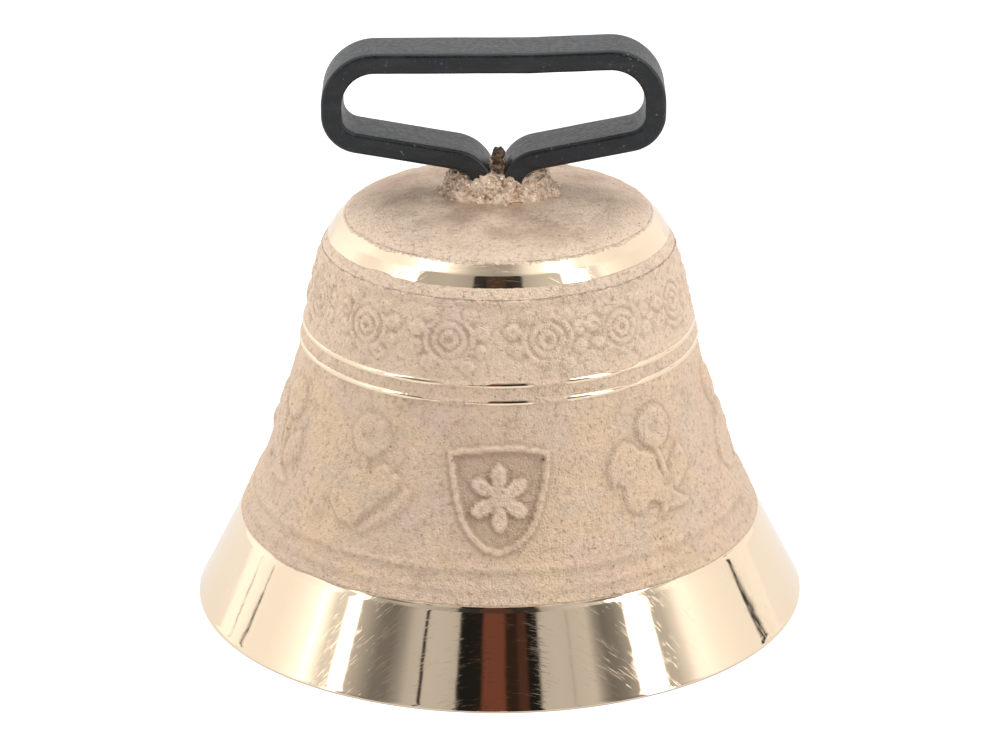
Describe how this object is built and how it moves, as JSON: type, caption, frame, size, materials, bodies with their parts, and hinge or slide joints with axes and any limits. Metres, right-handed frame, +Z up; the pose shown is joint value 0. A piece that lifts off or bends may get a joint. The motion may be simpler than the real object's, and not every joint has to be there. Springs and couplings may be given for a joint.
{
  "type": "bell",
  "caption": "Small flared cast bronze bell with a flat steel strap handle and a leather-hung swinging clapper.",
  "frame": {"origin": "centre of the lip's flat underside, on the bell's axis, so the bell stands on Z = 0", "axes": "+Z up along the bell's axis towards the handle; X along the handle's long side; -Y is the front, where the shield is; the clapper swings along Y"},
  "size_m": [0.12, 0.12, 0.1127],
  "materials": {
    "cast_bronze": "sand-cast matt bronze, with the lip cone, crown band and two rings turned and mirror polished",
    "rough_bronze": "rough grainy poured bronze",
    "black_steel": "blue-black oxidised hot-rolled steel, satin, worn grey on its broad faces",
    "zinc_steel": "zinc-plated steel, dulled",
    "bush_brass": "turned brass tube",
    "leather": "thick brown harness leather with cut edges",
    "copper": "copper rivet and burr, hammered",
    "forged_iron": "forged iron, dark scale with rubbed striking faces"
  },
  "bodies": {
    "bell": {"bell_body": "cast_bronze", "root_crust": "rough_bronze", "strap_handle": "black_steel", "hanger_bolt": "zinc_steel", "bolt_head_washer": "zinc_steel", "nut_washer": "zinc_steel", "hanger_nut": "zinc_steel", "hanger_bush": "bush_brass"},
    "baldrick": {"leather_baldrick": "leather", "baldrick_rivet": "copper", "rivet_burr": "copper"},
    "clapper": {"clapper_shank": "forged_iron", "clapper_ball": "forged_iron"}
  },
  "joints": [
    {"name": "baldrick_swing", "type": "hinge", "parent": "bell", "child": "baldrick", "pos_m": [0, 0, 0.0635], "axis": [1, 0, 0], "range_deg": [-26, 26]},
    {"name": "clapper_swing", "type": "hinge", "parent": "baldrick", "child": "clapper", "pos_m": [0, 0, 0.046], "axis": [1, 0, 0], "range_deg": [-26, 26]}
  ]
}
